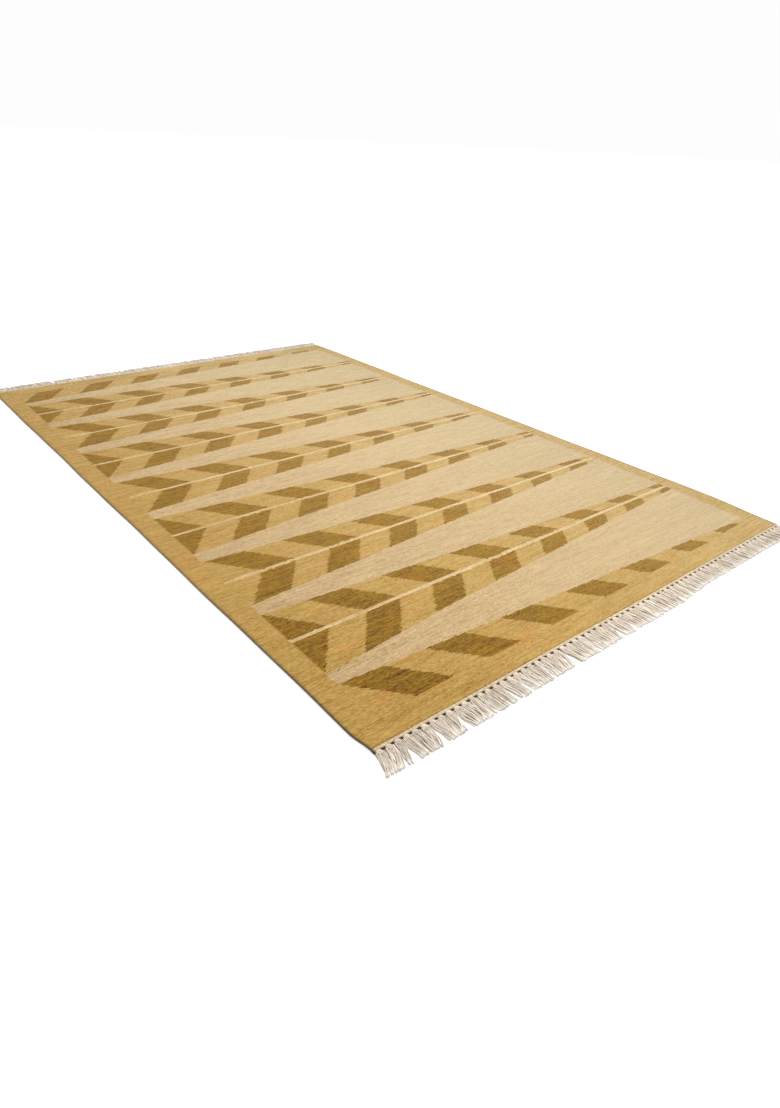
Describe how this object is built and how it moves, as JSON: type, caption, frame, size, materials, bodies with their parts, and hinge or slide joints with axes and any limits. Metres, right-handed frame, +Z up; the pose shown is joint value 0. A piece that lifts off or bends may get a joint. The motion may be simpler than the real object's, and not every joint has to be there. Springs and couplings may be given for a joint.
{
  "type": "dhurrie rug with a fringe at both ends",
  "caption": "Flat-woven dhurrie rug that lies flat on a floor, with a border, tapering rows of slanted leaves and a knotted cotton fringe along each end.",
  "frame": {"origin": "on the floor, under the middle of the rug", "axes": "+Y along the rug from its near end to its far end, +X across it to the right, +Z up out of the face"},
  "size_m": [1.6104, 2.6457, 0.0063],
  "materials": {
    "woven_wool": "matt weft-faced flat weave in gold, olive brown and beige wool",
    "cotton_yarn": "matt off-white plied cotton warp yarn"
  },
  "bodies": {
    "root": {"rug": "woven_wool", "fringe_near": "cotton_yarn", "fringe_far": "cotton_yarn"}
  },
  "joints": []
}
